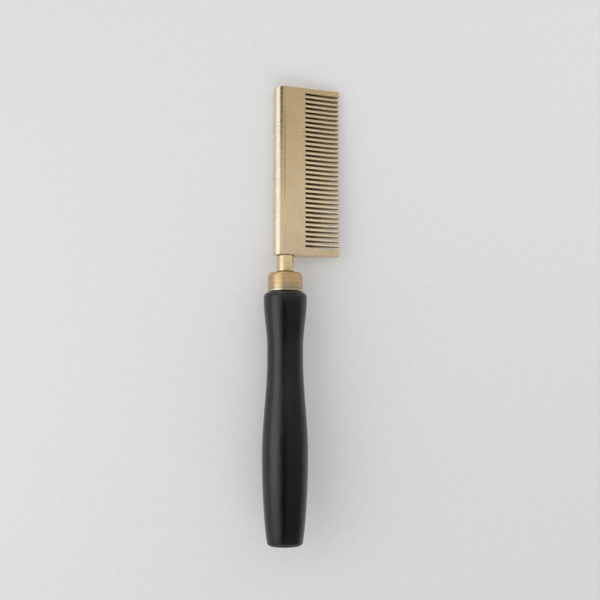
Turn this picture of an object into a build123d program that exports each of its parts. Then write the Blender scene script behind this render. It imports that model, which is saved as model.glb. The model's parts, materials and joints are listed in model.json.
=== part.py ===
from build123d import *
import os
from math import asin, atan2, cos, degrees, hypot, sin

# Hot comb: a brass head with teeth, on a brass tang that is cemented into a turned wooden handle.
# Every piece is drawn along the tool's own axis, which is Y: the butt of the handle is at Y = 0,
# the teeth point along +X, and the head's two flat faces look up (+Z) and down (-Z). At the end the
# whole tool is laid down as it rests on a table, on the flare of its handle and the far end of its
# head, with the origin under its middle. Lengths are in millimetres.

# Handle: radius and level of each station along it
butt_radius = 8.9
butt_slope = 0.2
butt_rounding = 2.2
taper_radius = 10.3
taper_level = 10.5
swell_radius = 11.9
swell_level = 46.5
waist_radius = 9.35
waist_level = 95.0
waist_length = 6.0
flare_radius = 11.35
shoulder_level = 130.05
shoulder_height = 2.7

# Ferrule
ferrule_radius = 9.05
ferrule_wall = 0.8
ferrule_height = 10.05
ferrule_crown_rounding = 1.9
ferrule_lip_rounding = 0.3
ferrule_lift = 0.1

# Tang: the bare rod, the barbed shank inside the handle and the spigot inside the head
tang_radius = 4.5
tang_exposed = 9.3
tang_edge_break = 0.25
shank_radius = 3.1
shank_length = 54.0
shank_point_length = 3.5
shank_point_radius = 1.4
barb_depth = 0.4
barb_length = 3.0
barb_pitch = 5.0
barb_first_drop = 6.0
spigot_radius = 3.0
spigot_length = 12.0

# Cement round the shank
cement_thickness = 0.6
cement_below_shank = 1.5
cement_top_drop = 1.0

# Comb head
back_radius = 4.8
back_centre_reach = -1.95
tip_thickness = 3.3
tip_reach = 29.4
tip_rounding = 0.7
slot_root_reach = 10.0
tooth_count = 32
tooth_width = 1.27
slot_width = 1.30
lower_bar_width = 4.2
far_bar_width = 2.9
head_edge_break = 0.4

# Clearances, and how far a cutter runs past what it cuts
tang_hole_clearance = 0.05
spigot_end_clearance = 0.5
neck_corner_clearance = 0.2
cut_margin = 1.0

# Search for the pitch at rest: points tried on each curve of the handle's side, and angles in radians
pitch_samples = 400
steepest_pitch = 0.3
pitch_tolerance = 1e-7

# Levels and sizes that follow from the ones above
flare_level = shoulder_level - shoulder_height
ferrule_bottom = shoulder_level + ferrule_lift
ferrule_top = ferrule_bottom + ferrule_height
neck_radius = ferrule_radius - ferrule_wall
neck_top = ferrule_top - ferrule_wall
crown_inner_rounding = ferrule_crown_rounding - ferrule_wall
head_bottom = ferrule_top + tang_exposed
shank_bottom = neck_top - shank_length
bore_radius = shank_radius + cement_thickness
bore_bottom = shank_bottom - cement_below_shank
slot_pitch = tooth_width + slot_width
slot_count = tooth_count + 1
first_slot_level = head_bottom + lower_bar_width + slot_width / 2
head_length = lower_bar_width + slot_count * slot_width + tooth_count * tooth_width + far_bar_width
head_top = head_bottom + head_length

# Each flat face of the head touches the round back and runs to a corner of the tips, so it slants
# towards the middle plane by this angle (in radians), and starts at this point of the round back.
flat_run = tip_reach - back_centre_reach
half_tip = tip_thickness / 2
flat_slant = asin(back_radius / hypot(flat_run, half_tip)) - atan2(half_tip, flat_run)
flat_start_reach = back_centre_reach + back_radius * sin(flat_slant)
flat_start_height = back_radius * cos(flat_slant)


def turned(outline, roundings=()):
    """A round piece: a closed outline in X (radius) and Y (level), turned about the Y axis.

    Each rounding is a corner of the outline and the radius that it gets.
    """
    face = make_face(outline)
    for corner, radius in roundings:
        face = fillet(face.vertices().sort_by_distance(corner)[0], radius)
    return revolve(face, Axis.Y)


def handle_side():
    """The handle's side from the butt to the ferrule: taper, swell, waist, flare and shoulder."""
    butt = (butt_radius, 0)
    taper = (taper_radius, taper_level)
    swell = (swell_radius, swell_level)
    waist = (waist_radius, waist_level)
    waist_end = (waist_radius, waist_level + waist_length)
    flare = (flare_radius, flare_level)
    along = (0, 1)
    shoulder_centre = (neck_radius, flare_level)
    shoulder_width = flare_radius - neck_radius
    return [
        Spline(butt, taper, swell, tangents=((butt_slope, 1), along)),
        Spline(swell, waist, tangents=(along, along)),
        Line(waist, waist_end),
        Spline(waist_end, flare, tangents=(along, along)),
        EllipticalCenterArc(shoulder_centre, shoulder_width, shoulder_height, arc_size=90),
    ]


def make_handle():
    """Turned wooden handle with a neck for the ferrule and a blind bore for the shank."""
    neck_corner = (neck_radius, neck_top)
    butt_corner = (butt_radius, 0)
    rest = Polyline(
        (neck_radius, shoulder_level),
        neck_corner,
        (bore_radius, neck_top),
        (bore_radius, bore_bottom),
        (0, bore_bottom),
        (0, 0),
        butt_corner,
    )
    roundings = [
        (neck_corner, crown_inner_rounding + neck_corner_clearance),
        (butt_corner, butt_rounding),
    ]
    return turned([*handle_side(), *rest.edges()], roundings)


def make_ferrule():
    """Drawn brass cap: a skirt on the handle's neck and a rounded crown with a hole for the tang."""
    hole_radius = tang_radius + tang_hole_clearance
    outer_crown = (ferrule_radius, ferrule_top)
    inner_crown = (neck_radius, neck_top)
    outer_lip = (ferrule_radius, ferrule_bottom)
    outline = Polyline(
        (hole_radius, ferrule_top),
        outer_crown,
        outer_lip,
        (neck_radius, ferrule_bottom),
        inner_crown,
        (hole_radius, neck_top),
        close=True,
    )
    roundings = [
        (outer_crown, ferrule_crown_rounding),
        (inner_crown, crown_inner_rounding),
        (outer_lip, ferrule_lip_rounding),
    ]
    return turned(outline.edges(), roundings)


def shank_side():
    """Corner points down the shank: ring barbs with their steps towards the head, then a point."""
    points = [(shank_radius, neck_top)]
    barbed_length = shank_length - barb_first_drop - shank_point_length
    for barb in range(int(barbed_length // barb_pitch)):
        step_level = neck_top - barb_first_drop - barb * barb_pitch
        points.append((shank_radius, step_level))
        points.append((shank_radius + barb_depth, step_level))
        points.append((shank_radius, step_level - barb_length))
    points.append((shank_radius, shank_bottom + shank_point_length))
    points.append((shank_point_radius, shank_bottom))
    return points


def make_tang():
    """Brass rod with a spigot that sits in the head and a barbed shank that sits in the handle."""
    upper_corner = (tang_radius, head_bottom)
    lower_corner = (tang_radius, neck_top)
    spigot_corner = (spigot_radius, head_bottom + spigot_length)
    outline = Polyline(
        (0, shank_bottom),
        (0, head_bottom + spigot_length),
        spigot_corner,
        (spigot_radius, head_bottom),
        upper_corner,
        lower_corner,
        *shank_side(),
        close=True,
    )
    roundings = [
        (upper_corner, tang_edge_break),
        (lower_corner, tang_edge_break),
        (spigot_corner, tang_edge_break),
    ]
    return turned(outline.edges(), roundings)


def make_cement(tang):
    """Heat-proof cement that fills the handle's bore round the shank."""
    outline = Polyline(
        (0, bore_bottom),
        (bore_radius, bore_bottom),
        (bore_radius, neck_top - cement_top_drop),
        (0, neck_top - cement_top_drop),
        close=True,
    )
    return turned(outline.edges()) - tang


def head_section():
    """Section of the head: a full-round back and two flats that run to the rounded tips."""
    upper_start = (flat_start_reach, flat_start_height)
    lower_start = (flat_start_reach, -flat_start_height)
    upper_tip = (tip_reach, half_tip)
    lower_tip = (tip_reach, -half_tip)
    back = ThreePointArc(lower_start, (back_centre_reach - back_radius, 0), upper_start)
    front = Polyline(upper_start, upper_tip, lower_tip, lower_start)
    face = make_face([back, *front.edges()])
    for tip in (upper_tip, lower_tip):
        face = fillet(face.vertices().sort_by_distance(tip)[0], tip_rounding)
    return face


def make_comb_head():
    """Brass head: a long wedge with sawn slots, and a blind hole for the tang's spigot."""
    base = Plane(origin=(0, head_bottom, 0), x_dir=(1, 0, 0), z_dir=(0, 1, 0))
    head = extrude(base * head_section(), head_length)
    head = fillet(head.faces().filter_by(Axis.Y).edges(), head_edge_break)
    slot_reach = tip_reach + cut_margin - slot_root_reach
    slot_middle = slot_root_reach + slot_reach / 2
    slot = Box(slot_reach, slot_width, 2 * (back_radius + cut_margin))
    slots = [Pos(slot_middle, first_slot_level + i * slot_pitch, 0) * slot for i in range(slot_count)]
    hole_depth = spigot_length + spigot_end_clearance
    hole = turned(
        Polyline(
            (0, head_bottom - cut_margin),
            (spigot_radius, head_bottom - cut_margin),
            (spigot_radius, head_bottom + hole_depth),
            (0, head_bottom + hole_depth),
            close=True,
        ).edges()
    )
    return head - slots - hole


def resting_pitch():
    """Angle in radians by which the head points down when the tool lies on a level surface.

    The handle and the far edge of the head's lower face then reach equally deep. The tool has been
    rolled before that, until this face is level across, which sets how far below the axis it lies.
    """
    steps = range(pitch_samples + 1)
    side = [edge @ (step / pitch_samples) for edge in handle_side() for step in steps]
    face_drop = back_radius + back_centre_reach * sin(flat_slant)
    edge_level = head_top - head_edge_break
    low, high = 0.0, steepest_pitch
    while high - low > pitch_tolerance:
        pitch = (low + high) / 2
        handle_depth = max(point.X * cos(pitch) + point.Y * sin(pitch) for point in side)
        far_edge_depth = (face_drop - head_edge_break) * cos(pitch) + edge_level * sin(pitch)
        if far_edge_depth + head_edge_break < handle_depth:
            low = pitch
        else:
            high = pitch
    return pitch


def laid_down(pieces):
    """The pieces as they lie at rest, with the origin below the middle of the whole tool."""
    turn = Rot(X=-degrees(resting_pitch())) * Rot(Y=degrees(flat_slant))
    turned_pieces = {node: turn * piece for node, piece in pieces.items()}
    box = Compound([*turned_pieces.values()]).bounding_box()
    shift = Pos(-box.center().X, -box.center().Y, -box.min.Z)
    return {node: shift * piece for node, piece in turned_pieces.items()}


tang = make_tang()
hot_comb = {
    "comb_head": make_comb_head(),
    "tang": tang,
    "ferrule": make_ferrule(),
    "handle": make_handle(),
    "tang_cement": make_cement(tang),
}

os.makedirs("parts", exist_ok=True)
for node, piece in laid_down(hot_comb).items():
    export_step(piece, f"parts/{node}.step")
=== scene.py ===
import json
from math import atan2, cos, degrees, pi, radians, sin, tan

import bpy
from mathutils import Matrix, Vector


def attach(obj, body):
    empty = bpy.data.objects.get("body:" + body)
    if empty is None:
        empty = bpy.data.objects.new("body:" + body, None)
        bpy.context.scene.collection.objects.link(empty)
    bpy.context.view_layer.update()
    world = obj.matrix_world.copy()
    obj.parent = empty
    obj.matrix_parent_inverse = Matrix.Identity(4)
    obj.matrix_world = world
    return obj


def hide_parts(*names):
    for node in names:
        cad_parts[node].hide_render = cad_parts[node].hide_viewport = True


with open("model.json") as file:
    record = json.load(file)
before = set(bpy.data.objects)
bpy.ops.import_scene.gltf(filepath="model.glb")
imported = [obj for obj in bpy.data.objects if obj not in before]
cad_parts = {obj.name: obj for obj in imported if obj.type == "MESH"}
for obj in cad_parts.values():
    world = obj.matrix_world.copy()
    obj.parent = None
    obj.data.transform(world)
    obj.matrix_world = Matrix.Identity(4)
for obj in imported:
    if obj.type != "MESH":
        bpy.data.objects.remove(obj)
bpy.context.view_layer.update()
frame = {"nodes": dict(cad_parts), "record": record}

# The tool's own axes, as in the CAD: the teeth point along TEETH, the head lies ALONG from the butt,
# and UP is square to both. The outward normals of the head's two flats give all three.
MM = 0.001
mount_axes = {mount["name"]: Vector(mount["axis"]) for mount in frame["record"]["mounts"]}
upper_normal = mount_axes["upper_flat"]
lower_normal = mount_axes["lower_flat"]
TEETH = (upper_normal + lower_normal).normalized()
UP = (upper_normal - lower_normal).normalized()
ALONG = UP.cross(TEETH)


def span(node, direction):
    """Lowest and highest reach of a CAD node along a direction, in millimetres."""
    reaches = [vertex.co.dot(direction) / MM for vertex in frame["nodes"][node].data.vertices]
    return min(reaches), max(reaches)


def half_span(node, direction):
    """Half of a CAD node's extent along a direction, in millimetres."""
    low, high = span(node, direction)
    return (high - low) / 2


# The tool's origin is the centre of the butt, on the axis of the round tang
axis_reach = sum(span("tang", TEETH)) / 2
axis_height = sum(span("tang", UP)) / 2
butt_level = span("handle", ALONG)[0]
origin = (TEETH * axis_reach + ALONG * butt_level + UP * axis_height) * MM
TOOL = Matrix.Translation(origin) @ Matrix((TEETH, ALONG, UP)).transposed().to_4x4()

# Sizes that the frame gives, in millimetres from the tool's origin
head_bottom, head_top = [level - butt_level for level in span("comb_head", ALONG)]
back_reach, tip_reach = [reach - axis_reach for reach in span("comb_head", TEETH)]
ferrule_bottom, ferrule_top = [level - butt_level for level in span("ferrule", ALONG)]
back_radius = half_span("comb_head", UP)
ferrule_radius = half_span("ferrule", TEETH)
tang_radius = half_span("tang", TEETH)
swell_radius = half_span("handle", TEETH)

# Handle: the other stations of its side
butt_radius = 8.9
butt_slope = 0.2
butt_rounding = 2.2
taper_radius = 10.3
taper_level = 10.5
swell_level = 46.5
waist_radius = 9.35
waist_level = 95.0
waist_length = 6.0
flare_radius = 11.35
shoulder_drop = 0.1
shoulder_height = 2.7

# Ferrule, tang and head
ferrule_wall = 0.8
crown_rounding = 1.9
lip_rounding = 0.5
hole_clearance = 0.2
neck_clearance = 0.02
tang_edge_break = 0.25
tip_rounding = 0.7
slot_root_reach = 10.0
tooth_count = 32
tooth_width = 1.27
slot_width = 1.30
lower_bar_width = 4.2
head_edge_break = 0.4
back_corner_rounding = 1.5
saw_edge_break = 0.2

# How finely round shapes are divided, and from what angle in degrees an edge looks sharp
turns = 192
curve_steps = 28
arc_steps = 12
back_steps = 64
edge_steps = 8
saw_edge_segments = 3
turned_crease = 35
head_crease = 25

# Where the brass changes colour, in millimetres. The round back's painted highlight has its full colour
# up to the first reach and none from the second. The painted shade of the crease beside the back is
# measured from its middle, and the bands of the ferrule from its lower edge; each band has its lower
# colour up to the first of its two heights.
back_highlight_reaches = (-4.5, -3.2)
# The painted highlight along the teeth fades in over these softnesses, and reaches past the tips
tooth_highlight_softness = 0.3
slot_row_softness = 0.1
past_tips = 1.0
# Painted shade of the crease beside the back: its half widths, the levels where it shows, and its fade
line_half_widths = (0.2, 0.6)
line_levels = (183.0, 228.0)
line_fade = 12.0
browned_reach = 22.0
# Painted contact shade at the tang's two ends: its lengths and softness
tang_root_shade = 0.9
tang_end_shade = 0.35
contact_shade_softness = 0.2
dull_skirt_heights = (1.5, 5.0)
lip_reflection_heights = (0.7, 1.1)

# Colours as linear red, green and blue
# Head brass: paler at the lower end and yellower at the far one, painted light and shade of the
# better-lit lower end and the dimmer far end
head_lower_brass = (0.70, 0.552, 0.355)
head_far_brass = (0.70, 0.514, 0.288)
# Painted highlight: the paler brass on the round back
back_highlight_brass = (0.80, 0.72, 0.54)
# Painted highlight along the middle of the teeth
tooth_highlight_brass = (0.86, 0.74, 0.52)
# Painted shade of the crease beside the back
crease_shade_brown = (0.2, 0.14, 0.06)
# Painted shade at the slots' roots, then the bare walls and the browner tips
slot_root_shade_brown = (0.10, 0.055, 0.02)
slot_wall_brass = (0.64, 0.50, 0.31)
slot_tip_brown = (0.42, 0.32, 0.18)
tang_brass = (0.76, 0.615, 0.36)
# Painted contact shade at the tang's ends
tang_contact_shade_brown = (0.08, 0.05, 0.02)
ferrule_brass = (0.60, 0.415, 0.215)
dull_skirt_brass = (0.52, 0.405, 0.255)
# Painted reflection: the pale band at the ferrule's lip
lip_reflection_brass = (0.72, 0.63, 0.44)
lacquer_black = (0.0012, 0.0016, 0.0016)
lacquer_over_grain = (0.0032, 0.0038, 0.0037)
cement_dark = (0.25, 0.23, 0.2)
cement_light = (0.42, 0.4, 0.36)
white = (1, 1, 1, 1)

# Strength of the painted shade of the crease beside the back, and how rough the lacquer is
crease_shade_strength = 0.45
lacquer_roughness = (0.18, 0.26)

# Most of a noise's values lie between the first two. The grain tells between the second two.
noise_range = (0.3, 0.7)
grain_range = (0.35, 0.7)

# Camera, in degrees and in millimetres from the tool's origin
camera_azimuth = 15.08
camera_pitch = 6.51
camera_distance = 520.0
camera_side = 7.71
camera_level = 66.7
camera_lens = 60.0
camera_sensor = 36.0

# Floor: half its side in metres, its greys, how fine its flecks are, and its share of plain white
floor_half_side = 4.0
floor_greys = (0.86, 0.89)
floor_fleck_scale = 300.0
floor_whiteness = 0.15

# Studio, seen from the tool. Each panel covers a range of angles across the tool, from UP towards
# the teeth, and one along it, from the butt's end towards the head's. Each range is followed by the
# softness of its edges, and the last number is the radiance. A later panel hangs in front.
surround_light = 1.9
backdrop_light = 0.6
all_round = (-200, 200)
back_side = (-92, -20)
overhead = (-38, -7)
teeth_side = (-7, 92)
studio_panels = {
    "grey wall all round": (all_round, 1, (-40, 55), 10, 0.5),
    "cap above the head's end": ((-45, 92), 1.5, (55, 100), 6, 0.75),
    "grey panel past the butt": (all_round, 1, (-100, -58), 8, 0.45),
    "dark panel on the teeth's side": (teeth_side, 1.5, (-28, 40), 6, 0.19),
    "lighter part of it, nearer the head": (teeth_side, 1.5, (-8, 40), 12, 0.36),
    "bright panel on the back's side": (back_side, 1.5, (-16, 55), 14, 1.2),
    "black strip overhead": (overhead, 3, (-28, 40), 6, 0.05),
}

# Lamps that face the tool: the lean from UP towards the teeth in degrees, the distance from the
# tool's axis, the level along it, the width and length, and the radiance
softboxes = {
    "lower_head_softbox": (36, 450, 251, (660, 107), 0.58),
    "upper_head_softbox": (36, 450, 367, (660, 125), 0.35),
    "tips_softbox": (82, 450, 317, (240, 226), 0.5),
    "lower_handle_softbox": (-71, 400, -113, (300, 166), 0.5),
    "upper_handle_softbox": (-71, 400, 78, (300, 216), 0.9),
    "top_softbox": (-20, 470, 246, (342, 160), 0.85),
}

# Sizes that follow
flat_slant = UP.angle(upper_normal)
back_centre_reach = back_reach + back_radius
flat_start_reach = back_centre_reach + back_radius * sin(flat_slant)
half_tip = (back_radius - (tip_reach - back_centre_reach) * sin(flat_slant)) / cos(flat_slant)
slot_pitch = tooth_width + slot_width
slot_count = tooth_count + 1
first_slot = head_bottom + lower_bar_width + slot_width / 2
last_slot = first_slot + (slot_count - 1) * slot_pitch
neck_radius = ferrule_radius - ferrule_wall
inner_rounding = crown_rounding - ferrule_wall
inner_centre = (neck_radius - inner_rounding, ferrule_top - crown_rounding)
shoulder_level = ferrule_bottom - shoulder_drop
flare_level = shoulder_level - shoulder_height


def arc(centre, radius, start, end, steps):
    """Points on a circle, or on an ellipse if radius is a pair, from start to end in degrees."""
    radius_x, radius_y = radius if isinstance(radius, tuple) else (radius, radius)
    angles = [radians(start + (end - start) * step / steps) for step in range(steps + 1)]
    return [(centre[0] + radius_x * cos(a), centre[1] + radius_y * sin(a)) for a in angles]


def curve(start, end, start_way, end_way):
    """Points on a cubic from start towards end, which leaves and arrives along the two ways."""
    points = []
    for step in range(curve_steps):
        t = step / curve_steps
        places = (2 * t**3 - 3 * t**2 + 1, 3 * t**2 - 2 * t**3)
        pulls = (t**3 - 2 * t**2 + t, t**3 - t**2)
        points.append(start * places[0] + end * places[1] + start_way * pulls[0] + end_way * pulls[1])
    return points


def middle_way(points, first_way, last_way):
    """The way through the middle one of three points, for which the bend has no jump there.

    The first way is for the first stretch, the last way for the second, and so are the two results.
    """
    first = (points[1] - points[0]).length
    second = (points[2] - points[1]).length
    pull = 3 * (second * (points[1] - points[0]) / first + first * (points[2] - points[1]) / second)
    way = (pull - second * first_way / first - first * last_way / second) / (2 * (first + second))
    return way * first, way * second


def add_piece(name, vertices, faces, nodes):
    """A piece from vertices in the tool's own axes, which stands for CAD nodes on the one body."""
    mesh = bpy.data.meshes.new(name)
    mesh.from_pydata([TOOL @ (Vector(vertex) * MM) for vertex in vertices], [], faces)
    piece = bpy.data.objects.new(name, mesh)
    bpy.context.scene.collection.objects.link(piece)
    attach(piece, "root")
    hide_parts(*nodes)
    return piece


def turned(name, outline, nodes):
    """A round piece from its outline, a list of (radius, level), turned about the tool's axis."""
    vertices = []
    rings = []
    for radius, level in outline:
        count = turns if radius > 0 else 1
        rings.append(range(len(vertices), len(vertices) + count))
        for turn in range(count):
            angle = 2 * pi * turn / turns
            vertices.append((radius * cos(angle), level, radius * sin(angle)))
    faces = []
    for ring, following in zip(rings, rings[1:]):
        for turn in range(turns):
            after = (turn + 1) % turns
            if len(ring) == 1:
                faces.append((ring[0], following[turn], following[after]))
            elif len(following) == 1:
                faces.append((ring[turn], following[0], ring[after]))
            else:
                faces.append((ring[turn], following[turn], following[after], ring[after]))
    piece = add_piece(name, vertices, faces, nodes)
    piece.data.shade_smooth()
    piece.data.set_sharp_from_angle(angle=radians(turned_crease))
    return piece


def handle_side():
    """The handle's side as a smooth curve: taper, swell, waist and flare."""
    butt = Vector((butt_radius, 0))
    taper = Vector((taper_radius, taper_level))
    swell = Vector((swell_radius, swell_level))
    waist = Vector((waist_radius, waist_level))
    waist_end = Vector((waist_radius, waist_level + waist_length))
    flare = Vector((flare_radius, flare_level))
    along = Vector((0, 1))
    butt_way = Vector((butt_slope, 1)).normalized() * (taper - butt).length
    swell_way = along * (swell - taper).length
    below, above = middle_way((butt, taper, swell), butt_way, swell_way)
    belly_way = along * (waist - swell).length
    throat_way = along * (flare - waist_end).length
    return [
        *curve(butt, taper, butt_way, below),
        *curve(taper, swell, above, swell_way),
        *curve(swell, waist, belly_way, belly_way),
        waist,
        *curve(waist_end, flare, throat_way, throat_way),
    ]


def handle_outline():
    """From the middle of the butt round its edge, up the side, over the shoulder and up the neck."""
    lean = degrees(atan2(butt_slope, 1))
    rounding_top = butt_rounding * (1 - sin(radians(lean)))
    side = [point for point in handle_side() if point.y > rounding_top]
    rounding_reach = side[0].x - butt_slope * (side[0].y - rounding_top)
    rounding_centre = (rounding_reach - butt_rounding * cos(radians(lean)), butt_rounding)
    shoulder_centre = (neck_radius, flare_level)
    shoulder_size = (flare_radius - neck_radius, shoulder_height)
    return [
        (0, 0),
        *arc(rounding_centre, butt_rounding, -90, -lean, arc_steps),
        *[tuple(point) for point in side],
        *arc(shoulder_centre, shoulder_size, 0, 90, arc_steps),
        *arc(inner_centre, inner_rounding - neck_clearance, 0, 90, arc_steps),
        (0, ferrule_top - ferrule_wall - neck_clearance),
    ]


def ferrule_outline():
    """Round the cap: up the outside from the lip, over the crown, and down the inside."""
    hole_radius = tang_radius + hole_clearance
    lip_centre = (ferrule_radius - lip_rounding, ferrule_bottom + lip_rounding)
    crown_centre = (ferrule_radius - crown_rounding, ferrule_top - crown_rounding)
    return [
        (neck_radius, ferrule_bottom),
        *arc(lip_centre, lip_rounding, -90, 0, arc_steps),
        *arc(crown_centre, crown_rounding, 0, 90, arc_steps),
        (hole_radius, ferrule_top),
        (hole_radius, ferrule_top - ferrule_wall),
        *arc(inner_centre, inner_rounding, 90, 0, arc_steps),
        (neck_radius, ferrule_bottom),
    ]


def tang_outline():
    """The bare rod, from inside the ferrule to the head."""
    rod_bottom = ferrule_top - ferrule_wall
    inner = tang_radius - tang_edge_break
    return [
        (0, rod_bottom),
        *arc((inner, rod_bottom + tang_edge_break), tang_edge_break, -90, 0, arc_steps),
        *arc((inner, head_bottom - tang_edge_break), tang_edge_break, 0, 90, arc_steps),
        (0, head_bottom),
    ]


def head_outline():
    """The head's section in two parts: round the back between slot roots, and round a tooth."""
    slant = degrees(flat_slant)
    root_height = half_tip + (tip_reach - slot_root_reach) * tan(flat_slant)
    upper_root = (slot_root_reach, root_height)
    lower_root = (slot_root_reach, -root_height)
    back = arc((back_centre_reach, 0), back_radius, 270 + slant, 90 - slant, back_steps)
    rounding_height = half_tip + tip_rounding * tan(flat_slant) - tip_rounding / cos(flat_slant)
    rounding_centre = (tip_reach - tip_rounding, rounding_height)
    upper_tip = arc(rounding_centre, tip_rounding, 90 - slant, 0, arc_steps)
    lower_tip = [(reach, -height) for reach, height in reversed(upper_tip)]
    return [lower_root, *back, upper_root], [upper_root, *upper_tip, *lower_tip, lower_root]


def rounded_end(section, end, outward, back_rounding):
    """Rings that take the head's side round to its end face, which looks ALONG if outward is 1.

    The edge is rounded by head_edge_break, and more and more towards the back, up to back_rounding.
    """
    rings = []
    for step in range(edge_steps + 1):
        angle = radians(90 * step / edge_steps)
        ring = []
        for index, (reach, height) in enumerate(section):
            before = section[index - 1]
            after = section[(index + 1) % len(section)]
            inward = Vector((after[1] - before[1], before[0] - after[0])).normalized()
            rounding = head_edge_break + (back_rounding - head_edge_break) * max(inward.x, 0) ** 2
            inset = rounding * (1 - cos(angle))
            level = end - outward * rounding * (1 - sin(angle))
            ring.append((reach + inward.x * inset, level, height + inward.y * inset))
        rings.append(ring)
    return rings


def head_rings(section):
    """Rings of the section from end to end, and the range of the ones at the sides of the slots."""
    rings = rounded_end(section, head_bottom, -1, head_edge_break)[::-1]
    slot_rings = range(len(rings), len(rings) + 2 * slot_count)
    for slot in range(slot_count):
        slot_start = head_bottom + lower_bar_width + slot * slot_pitch
        for level in (slot_start, slot_start + slot_width):
            rings.append([(reach, level, height) for reach, height in section])
    rings += rounded_end(section, head_top, 1, back_corner_rounding)
    return rings, slot_rings


def head_faces(ring_count, size, tooth_ring, slot_rings):
    """Faces between the rings, each of the given size, and the places of the sawn ones in the list.

    A strip goes all round at a bar or tooth, and only over the back and the flats at a slot, where
    the slot's root and the walls at its two sides are added.
    """
    last_spine = tooth_ring[0]
    faces = []
    sawn = []
    for index in range(ring_count - 1):
        low, high = index * size, (index + 1) * size
        in_slot = index in slot_rings[::2]
        strip = [*range(last_spine + 1)] if in_slot else [*range(size), 0]
        for here, there in zip(strip, strip[1:]):
            faces.append((low + here, low + there, high + there, high + here))
        if in_slot:
            sawn.append(len(faces))
            faces.append((low + last_spine, low, high, high + last_spine))
            for ring_start, turn in ((low, 1), (high, -1)):
                sawn.append(len(faces))
                faces.append([ring_start + point for point in tooth_ring][::turn])
    last_ring = (ring_count - 1) * size
    faces.append(list(range(size))[::-1])
    faces.append([last_ring + point for point in range(size)])
    return faces, sawn


def break_saw_edges(piece, size, tooth_ring, slot_rings):
    """Small bevels on the edges round each wall of a slot."""
    weights = piece.data.attributes.new("bevel_weight_edge", "FLOAT", "EDGE")
    for edge in piece.data.edges:
        ring, other_ring = [vertex // size for vertex in edge.vertices]
        around_tooth = all(vertex % size in tooth_ring for vertex in edge.vertices)
        if ring == other_ring and ring in slot_rings and around_tooth:
            weights.data[edge.index].value = 1.0
    bevel = piece.modifiers.new("Edge break", "BEVEL")
    bevel.limit_method = "WEIGHT"
    bevel.width = saw_edge_break * MM
    bevel.segments = saw_edge_segments
    bevel.harden_normals = True


def comb_head():
    """The toothed head, with the sawn faces in a second material slot."""
    spine, tooth = head_outline()
    section = spine + tooth[1:-1]
    size = len(section)
    tooth_ring = [len(spine) - 1, *range(len(spine), size), 0]
    rings, slot_rings = head_rings(section)
    faces, sawn = head_faces(len(rings), size, tooth_ring, slot_rings)
    vertices = [vertex for ring in rings for vertex in ring]
    piece = add_piece("comb_head_brass", vertices, faces, ["comb_head"])
    for face in sawn:
        piece.data.polygons[face].material_index = 1
    piece.data.shade_smooth()
    piece.data.set_sharp_from_angle(angle=radians(head_crease))
    last_ring = len(rings) - 1
    rounding_limits = (0, edge_steps, last_ring - edge_steps, last_ring)
    for edge in piece.data.edges:
        ring, other_ring = [vertex // size for vertex in edge.vertices]
        if ring == other_ring and ring in rounding_limits:
            edge.use_edge_sharp = True
    break_saw_edges(piece, size, tooth_ring, slot_rings)
    return piece


def build_tree(owner):
    """Empties the node tree of a material or the world; returns a function that adds linked nodes."""
    owner.use_nodes = True
    tree = owner.node_tree
    tree.nodes.clear()

    def add(kind, inputs=None, **settings):
        node = tree.nodes.new("ShaderNode" + kind)
        for name, value in settings.items():
            setattr(node, name, value)
        for key, value in (inputs or {}).items():
            if isinstance(value, bpy.types.NodeSocket):
                tree.links.new(value, node.inputs[key])
            else:
                node.inputs[key].default_value = value
        return node

    return add


def maths(add, operation, *values):
    """The result of one Math node."""
    return add("Math", dict(enumerate(values)), operation=operation).outputs[0]


def tool_coordinates(add):
    """Position in the tool's own axes, in millimetres."""
    place = add("TexCoord").outputs["Object"]
    inputs = {"Vector": place, "Location": origin, "Rotation": TOOL.to_euler(), "Scale": (MM, MM, MM)}
    return add("Mapping", inputs, vector_type="TEXTURE").outputs[0]


def stretched_noise(add, place, stretch, **inputs):
    """Noise that is drawn out: stretch is its fineness per millimetre along each axis."""
    stretched = add("VectorMath", {0: place, 1: stretch}, operation="MULTIPLY").outputs[0]
    settings = {"Vector": stretched, "Scale": 1.0, "Detail": 3.0, "Roughness": 0.55}
    settings.update(inputs)
    return add("TexNoise", settings).outputs["Fac"]


def ranged(add, value, low, high, to_low, to_high):
    """A value taken from one range to another."""
    inputs = {"Value": value, "From Min": low, "From Max": high, "To Min": to_low, "To Max": to_high}
    return add("MapRange", inputs).outputs["Result"]


def between(add, value, low, high, softness):
    """1 where a value lies between two limits and 0 outside, with soft edges."""
    inputs = {"Value": value, "From Min": low - softness, "From Max": low + softness}
    risen = add("MapRange", inputs, interpolation_type="SMOOTHSTEP").outputs["Result"]
    inputs = {"Value": value, "From Min": high + softness, "From Max": high - softness}
    falling = add("MapRange", inputs, interpolation_type="SMOOTHSTEP").outputs["Result"]
    return maths(add, "MULTIPLY", risen, falling)


def mixed(add, factor, colour, other):
    """One colour turning into another; each is a colour socket or three numbers."""
    ends = [end if isinstance(end, bpy.types.NodeSocket) else (*end, 1) for end in (colour, other)]
    return add("Mix", {0: factor, 6: ends[0], 7: ends[1]}, data_type="RGBA").outputs[2]


def scaled(add, colour, value, low, high):
    """A colour made darker or lighter by a noise, from the low factor to the high one."""
    factor = ranged(add, value, *noise_range, low, high)
    return add("VectorMath", {0: colour, "Scale": factor}, operation="SCALE").outputs[0]


def bumped(add, height, strength, depth, normal=None):
    """A normal roughened by a noise of the given depth in millimetres, on top of another normal."""
    inputs = {"Strength": strength, "Distance": depth * MM, "Height": height}
    if normal is not None:
        inputs["Normal"] = normal
    return add("Bump", inputs).outputs[0]


def principled_material(name, inputs_of):
    """A material with one principled shader, whose inputs a function makes from add and place."""
    material = bpy.data.materials.new(name)
    add = build_tree(material)
    shader = add("BsdfPrincipled", inputs_of(add, tool_coordinates(add)))
    add("OutputMaterial", {"Surface": shader.outputs[0]})
    return material


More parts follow.
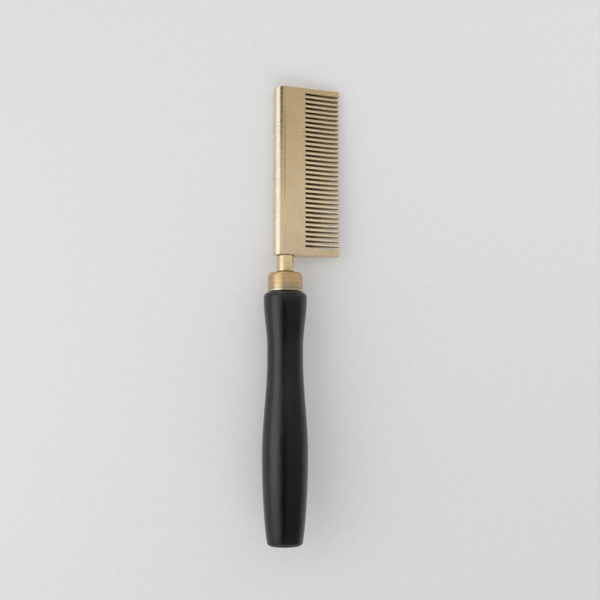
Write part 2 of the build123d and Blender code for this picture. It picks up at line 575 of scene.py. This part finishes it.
def brass(name, colour_of, marks_of, roughness):
    """Brass that is mottled, finely grained and brushed.

    One function gives the base colour from the reach and level, the other the brush marks.
    """
    smoothest, roughest = roughness - 0.04, roughness + 0.05

    def inputs_of(add, place):
        reach, level = add("SeparateXYZ", {0: place}).outputs[:2]
        base = colour_of(add, reach, level)
        marks = marks_of(add, place)
        mottle = stretched_noise(add, place, (0.15, 0.1, 0.15), Detail=4.0)
        speck = stretched_noise(add, place, (1.1, 1.4, 1.1), Detail=4.0, Roughness=0.7)
        base = scaled(add, base, mottle, low=0.95, high=1.04)
        base = scaled(add, base, speck, low=0.85, high=1.12)
        base = scaled(add, base, marks, low=0.9, high=1.07)
        rough = ranged(add, marks, *noise_range, smoothest, roughest)
        normal = bumped(add, speck, strength=0.5, depth=0.02)
        normal = bumped(add, marks, strength=0.4, depth=0.02, normal=normal)
        return {"Base Color": base, "Metallic": 1.0, "Roughness": rough, "Normal": normal}

    return principled_material(name, inputs_of)


def brushed_across(add, place):
    """Marks that run from the back of the head to the teeth."""
    return stretched_noise(add, place, (0.2, 1.3, 0.2), Detail=4.0, Roughness=0.65)


def brushed_around(add, place):
    """Marks that run round the tool's axis."""
    reach, level, height = add("SeparateXYZ", {0: place}).outputs
    flat_place = add("CombineXYZ", {0: reach, 1: height}).outputs[0]
    radius = add("VectorMath", {0: flat_place}, operation="LENGTH").outputs["Value"]
    ring_place = add("CombineXYZ", {0: radius, 1: level}).outputs[0]
    return stretched_noise(add, ring_place, (1.3, 1.3, 1.3), Detail=4.0, Roughness=0.65)


def tooth_highlight(add, reach, level):
    """Painted highlight along each tooth: 0 at the edges of each tooth, 1 along its middle."""
    from_slot = maths(add, "SUBTRACT", level, first_slot)
    from_slot = maths(add, "PINGPONG", from_slot, slot_pitch / 2)
    highlight_share = ranged(add, from_slot, slot_width / 2 + saw_edge_break, slot_pitch / 2, 0.0, 1.0)
    among_slots = between(add, level, first_slot, last_slot, slot_row_softness)
    among_teeth = between(add, reach, slot_root_reach, tip_reach + past_tips, tooth_highlight_softness)
    for limit in (among_slots, among_teeth):
        highlight_share = maths(add, "MULTIPLY", highlight_share, limit)
    return highlight_share


def crease_shade(add, reach, level):
    """Strength of the painted shade of a crease, in a line where the flat starts at the round back."""
    from_line = maths(add, "ABSOLUTE", maths(add, "SUBTRACT", reach, flat_start_reach))
    line = ranged(add, from_line, *line_half_widths, crease_shade_strength, 0.0)
    showing = between(add, level, *line_levels, line_fade)
    return maths(add, "MULTIPLY", line, showing)


def head_colour(add, reach, level):
    """Yellower towards the far end, as painted shade, with painted highlights on the round back and
    along the middle of the teeth, and painted shade of a crease in a line beside the back.

    The back's painted highlight lies out of the flats' reach.
    """
    far = ranged(add, level, head_bottom, head_top, 0.0, 1.0)
    colour = mixed(add, far, head_lower_brass, head_far_brass)
    back_highlight = ranged(add, reach, *back_highlight_reaches, 1.0, 0.0)
    colour = mixed(add, back_highlight, colour, back_highlight_brass)
    colour = mixed(add, tooth_highlight(add, reach, level), colour, tooth_highlight_brass)
    return mixed(add, crease_shade(add, reach, level), colour, crease_shade_brown)


def sawn_colour(add, reach, level):
    """Dark at the slots' roots as painted shade, bare in the middle, and browner towards the tips."""
    out = ranged(add, reach, slot_root_reach, browned_reach, 0.0, 1.0)
    tip = ranged(add, reach, browned_reach, tip_reach, 0.0, 1.0)
    colour = mixed(add, out, slot_root_shade_brown, slot_wall_brass)
    return mixed(add, tip, colour, slot_tip_brown)


def tang_colour(add, reach, level):
    """Slightly paler than the head, and dark at both ends with painted contact shade where it meets the
    ferrule and the head.
    """
    unshaded_bottom = ferrule_top + tang_root_shade
    unshaded_top = head_bottom - tang_end_shade
    unshaded = between(add, level, unshaded_bottom, unshaded_top, contact_shade_softness)
    return mixed(add, unshaded, tang_contact_shade_brown, tang_brass)


def ferrule_colour(add, reach, level):
    """Redder than the head, duller down the skirt and pale at the lip as a painted reflection, with
    faint drawing rings.
    """
    ring_place = add("CombineXYZ", {1: level}).outputs[0]
    rings = stretched_noise(add, ring_place, (0.0, 0.75, 0.0), Detail=2.0)
    height = maths(add, "SUBTRACT", level, ferrule_bottom)
    above_skirt = ranged(add, height, *dull_skirt_heights, 0.0, 1.0)
    above_lip = ranged(add, height, *lip_reflection_heights, 0.0, 1.0)
    colour = mixed(add, above_skirt, dull_skirt_brass, ferrule_brass)
    colour = mixed(add, above_lip, lip_reflection_brass, colour)
    return scaled(add, colour, rings, low=0.9, high=1.1)


def lacquer_inputs(add, place):
    """Gloss black lacquer over turned wood, a little wavy, with the grain just telling through it."""
    grain = stretched_noise(add, place, (1.2, 0.06, 1.2), Detail=4.0)
    dust = stretched_noise(add, place, (1.5, 1.5, 1.5), Detail=3.0, Roughness=0.7)
    wave = stretched_noise(add, place, (0.13, 0.05, 0.13), Detail=2.0)
    tint = ranged(add, grain, *grain_range, 0.0, 1.0)
    base = mixed(add, tint, lacquer_black, lacquer_over_grain)
    rough = ranged(add, grain, *noise_range, *lacquer_roughness)
    normal = bumped(add, wave, strength=1.0, depth=0.32)
    normal = bumped(add, grain, strength=0.5, depth=0.12, normal=normal)
    normal = bumped(add, dust, strength=0.5, depth=0.12, normal=normal)
    return {"Base Color": base, "Roughness": rough, "Normal": normal, "IOR": 1.5}


def cement_inputs(add, place):
    """Pale grey cement with sand in it."""
    sand = stretched_noise(add, place, (4, 4, 4), Detail=3.0)
    base = mixed(add, ranged(add, sand, *noise_range, 0.0, 1.0), cement_dark, cement_light)
    normal = bumped(add, sand, strength=0.5, depth=0.05)
    return {"Base Color": base, "Roughness": 0.9, "Normal": normal}


def floor_material():
    """Pale, finely flecked and matt, with a share of plain white where it is seen or mirrored."""
    material = bpy.data.materials.new("pale_floor")
    add = build_tree(material)
    place = add("TexCoord").outputs["Object"]
    fleck = add("TexNoise", {"Vector": place, "Scale": floor_fleck_scale}).outputs["Fac"]
    light = ranged(add, fleck, *noise_range, *floor_greys)
    base = add("CombineColor", {0: light, 1: light, 2: light}).outputs[0]
    paper = add("BsdfPrincipled", {"Base Color": base, "Roughness": 0.9, "Specular IOR Level": 0.2})
    glow = add("Emission", {"Color": white, "Strength": 1.0})
    rays = add("LightPath").outputs
    seen = maths(add, "MAXIMUM", rays["Is Camera Ray"], rays["Is Glossy Ray"])
    seen = maths(add, "MAXIMUM", seen, rays["Is Transmission Ray"])
    share = maths(add, "MULTIPLY", seen, floor_whiteness)
    shader = add("MixShader", {0: share, 1: paper.outputs[0], 2: glow.outputs[0]})
    add("OutputMaterial", {"Surface": shader.outputs[0]})
    return material


def floor():
    """A plain pale floor at the height that the comb rests on."""
    mesh = bpy.data.meshes.new("floor")
    half = floor_half_side
    corners = [(-half, -half, 0), (half, -half, 0), (half, half, 0), (-half, half, 0)]
    mesh.from_pydata(corners, [], [(0, 1, 2, 3)])
    plane = bpy.data.objects.new("floor", mesh)
    bpy.context.scene.collection.objects.link(plane)
    mesh.materials.append(floor_material())


def studio_world():
    """The studio as light from each way: an even pale surround with the panels in front of it."""
    world = bpy.data.worlds.new("studio")
    bpy.context.scene.world = world
    add = build_tree(world)
    way = add("TexCoord").outputs["Generated"]
    dots = [add("VectorMath", {0: way, 1: axis}, operation="DOT_PRODUCT") for axis in (TEETH, ALONG, UP)]
    reach, ahead, up = [dot.outputs["Value"] for dot in dots]
    across = maths(add, "DEGREES", maths(add, "ARCTAN2", reach, up))
    along = maths(add, "DEGREES", maths(add, "ARCSINE", ahead))
    light = surround_light
    for across_range, across_softness, along_range, along_softness, radiance in studio_panels.values():
        beside = between(add, across, *across_range, across_softness)
        level = between(add, along, *along_range, along_softness)
        cover = maths(add, "MULTIPLY", beside, level)
        light = add("Mix", {0: cover, 2: light, 3: radiance}, data_type="FLOAT").outputs[0]
    seen = add("LightPath").outputs["Is Camera Ray"]
    light = add("Mix", {0: seen, 2: light, 3: backdrop_light}, data_type="FLOAT").outputs[0]
    background = add("Background", {"Color": white, "Strength": light})
    add("OutputWorld", {"Surface": background.outputs[0]})


def softbox(name, lean, distance, level, size, radiance):
    """A rectangular lamp that faces the tool and that the camera doesn't see."""
    width, length = size
    data = bpy.data.lights.new(name, "AREA")
    data.shape = "RECTANGLE"
    data.size = width * MM
    data.size_y = length * MM
    data.energy = radiance * pi * data.size * data.size_y
    lamp = bpy.data.objects.new(name, data)
    lamp.visible_camera = False
    bpy.context.scene.collection.objects.link(lamp)
    lean = radians(lean)
    across = Vector((cos(lean), 0, -sin(lean)))
    outward = Vector((sin(lean), 0, cos(lean)))
    turn = Matrix((across, Vector((0, 1, 0)), outward)).transposed().to_4x4()
    place = Matrix.Translation((outward * distance + Vector((0, level, 0))) * MM)
    lamp.matrix_world = TOOL @ place @ turn


def camera():
    """The view of the photograph: from above the handle, a little from the back's side."""
    azimuth, pitch = radians(camera_azimuth), radians(camera_pitch)
    right = Vector((cos(azimuth), 0, sin(azimuth)))
    away = Vector((-sin(azimuth), 0, cos(azimuth)))
    along = Vector((0, 1, 0))
    upward = along * cos(pitch) + away * sin(pitch)
    backward = away * cos(pitch) - along * sin(pitch)
    turn = Matrix((right, upward, backward)).transposed().to_4x4()
    place = (right * camera_side + away * camera_distance + along * camera_level) * MM
    data = bpy.data.cameras.new("camera")
    data.lens = camera_lens
    data.sensor_width = camera_sensor
    eye = bpy.data.objects.new("camera", data)
    bpy.context.scene.collection.objects.link(eye)
    eye.matrix_world = TOOL @ Matrix.Translation(place) @ turn
    bpy.context.scene.camera = eye


camera()
studio_world()
for name, settings in softboxes.items():
    softbox(name, *settings)
floor()

head = comb_head()
tang = turned("tang_rod", tang_outline(), ["tang"])
ferrule = turned("ferrule_cap", ferrule_outline(), ["ferrule"])
handle = turned("turned_handle", handle_outline(), ["handle"])

head.data.materials.append(brass("satin_brass", head_colour, brushed_across, roughness=0.24))
head.data.materials.append(brass("sawn_brass", sawn_colour, brushed_across, roughness=0.6))
tang.data.materials.append(brass("turned_brass", tang_colour, brushed_around, roughness=0.26))
ferrule.data.materials.append(brass("drawn_brass", ferrule_colour, brushed_around, roughness=0.3))
handle.data.materials.append(principled_material("gloss_black_lacquer", lacquer_inputs))
cement = principled_material("heat_proof_cement", cement_inputs)
frame["nodes"]["tang_cement"].material_slots[0].material = cement

bpy.context.scene.view_settings.view_transform = "Standard"
